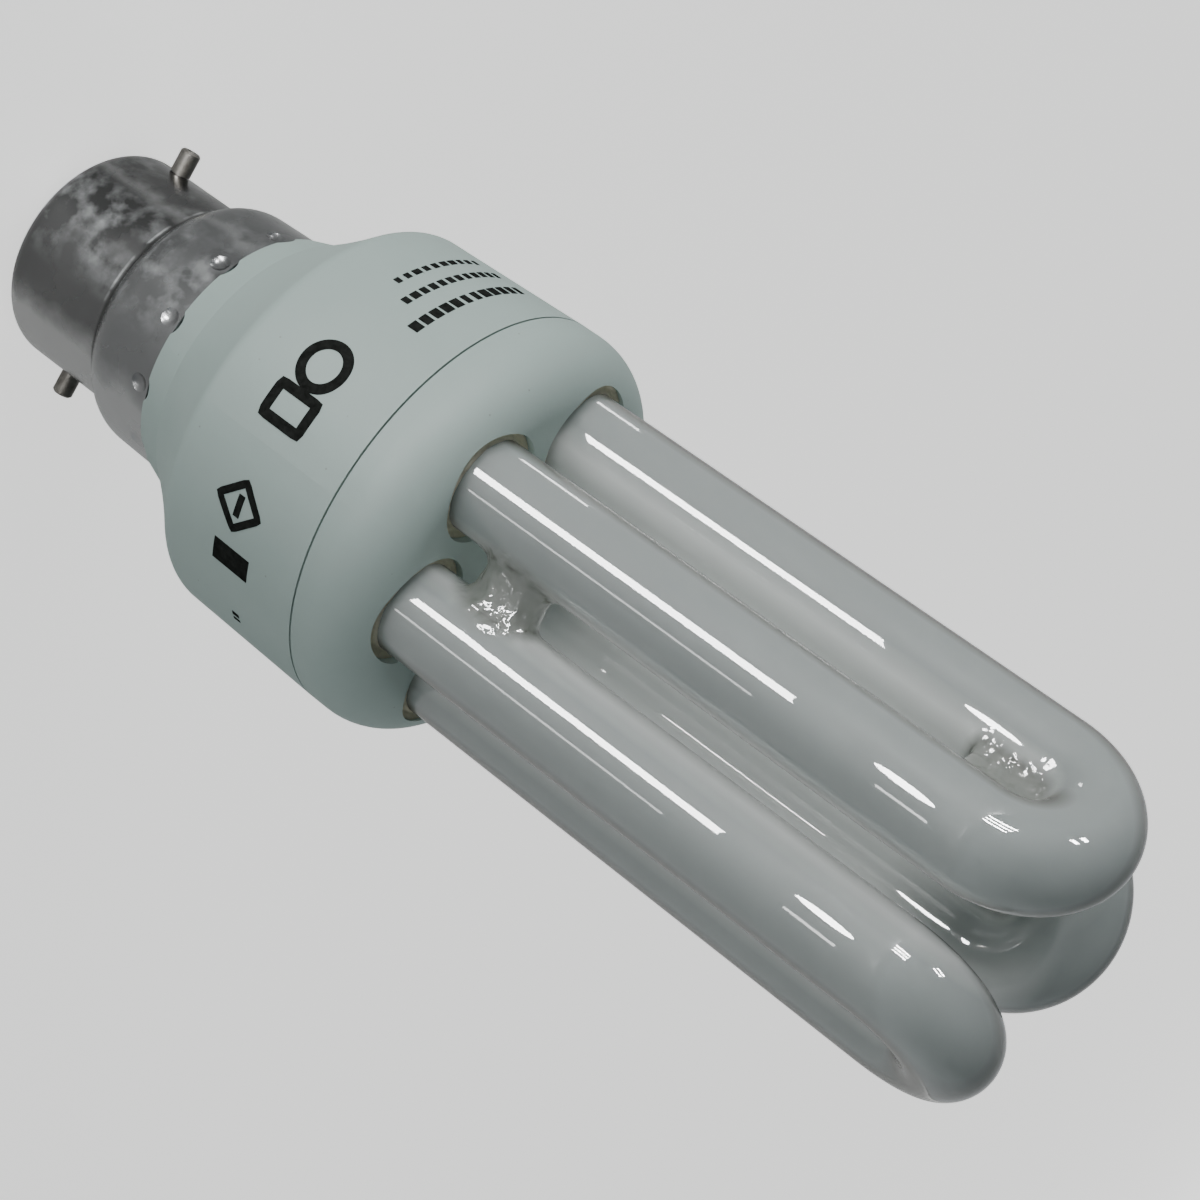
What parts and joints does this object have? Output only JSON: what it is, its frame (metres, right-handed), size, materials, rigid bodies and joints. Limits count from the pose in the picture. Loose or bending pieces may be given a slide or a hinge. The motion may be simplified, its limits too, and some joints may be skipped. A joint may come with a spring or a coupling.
{
  "type": "compact fluorescent bulb",
  "caption": "Compact fluorescent bulb with a bayonet cap, a two-part ballast housing and bent glass discharge tubes.",
  "frame": {"origin": "on the lamp's axis at the tips of the two cap contacts", "axes": "+Z along the lamp's axis from the cap to the tube bends, the bayonet pins on +Y and -Y, the contacts on +X and -X"},
  "size_m": [0.0408, 0.0408, 0.1176],
  "materials": {
    "cap_metal": "dull nickel grey sheet with faint blotches and polished dents",
    "pin_metal": "dull plated brass",
    "insulator": "black moulded insulator",
    "solder": "solder domes on brass plates",
    "housing_plastic": "pale grey-green white moulded plastic, satin",
    "milky_glass": "clear glass with a milky phosphor coat inside, glossy",
    "cement": "greyish white cement",
    "laminate": "brown paper laminate",
    "component_dark": "black component bodies",
    "component_red": "dipped component bodies",
    "ferrite": "dark grey ferrite",
    "bobbin_plastic": "natural plastic",
    "enamel_wire": "enamelled copper wire",
    "wire_sleeve": "white wire insulation",
    "lead_metal": "tinned wire"
  },
  "bodies": {
    "root": {"cap_shell": "cap_metal", "bayonet_pin_left": "pin_metal", "bayonet_pin_right": "pin_metal", "cap_insulator": "insulator", "contact_left": "solder", "contact_right": "solder", "ballast_housing": "housing_plastic", "housing_cover": "housing_plastic", "discharge_tube": "milky_glass", "tube_cement": "cement", "circuit_board": "laminate", "electrolytic_capacitor": "component_dark", "choke_core": "ferrite", "choke_bobbin": "bobbin_plastic", "choke_winding": "enamel_wire", "driver_toroid": "ferrite", "toroid_turns": "enamel_wire", "transistors": "component_dark", "rectifier_diodes": "component_dark", "diac": "component_red", "tuning_capacitor": "component_red", "filter_capacitor": "component_red", "disc_capacitors": "component_red", "thermistor": "component_dark", "resistors": "bobbin_plastic", "fusible_resistor": "bobbin_plastic", "supply_lead_left": "wire_sleeve", "supply_lead_right": "wire_sleeve", "electrode_leads": "lead_metal", "wrap_posts": "lead_metal"}
  },
  "joints": []
}
